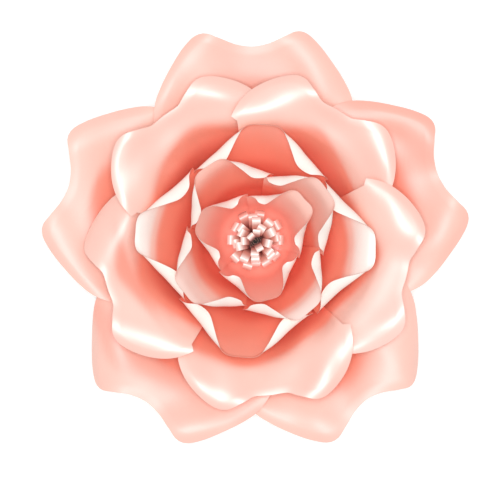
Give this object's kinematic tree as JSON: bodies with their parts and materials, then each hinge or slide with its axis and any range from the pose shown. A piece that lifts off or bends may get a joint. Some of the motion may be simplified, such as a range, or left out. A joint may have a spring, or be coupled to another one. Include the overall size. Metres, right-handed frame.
{
  "type": "giant paper flower",
  "caption": "Large layered flower of cut and curled pearl card petals on a round backing board, with a rolled fringed centre.",
  "frame": {"origin": "middle of the backing board's back face", "axes": "+Z the way the flower faces, +Y the top of the flower when it hangs on a wall, +X to the right seen from the front"},
  "size_m": [0.5056, 0.4857, 0.0934],
  "materials": {
    "pearl_card": "pearl sheen, coral pink",
    "fringe_card": "pearl sheen, pale pink",
    "grey_board": "matt uncoated board"
  },
  "bodies": {
    "root": {"outer_petal_1": "pearl_card", "outer_petal_2": "pearl_card", "outer_petal_3": "pearl_card", "outer_petal_4": "pearl_card", "outer_petal_5": "pearl_card", "second_petal_1": "pearl_card", "second_petal_2": "pearl_card", "second_petal_3": "pearl_card", "second_petal_4": "pearl_card", "second_petal_5": "pearl_card", "middle_petal_1": "pearl_card", "middle_petal_2": "pearl_card", "middle_petal_3": "pearl_card", "middle_petal_4": "pearl_card", "fourth_petal_1": "pearl_card", "fourth_petal_2": "pearl_card", "fourth_petal_3": "pearl_card", "fourth_petal_4": "pearl_card", "inner_petal_1": "pearl_card", "inner_petal_2": "pearl_card", "inner_petal_3": "pearl_card", "fringed_centre": "fringe_card", "backing_board": "grey_board"}
  },
  "joints": []
}
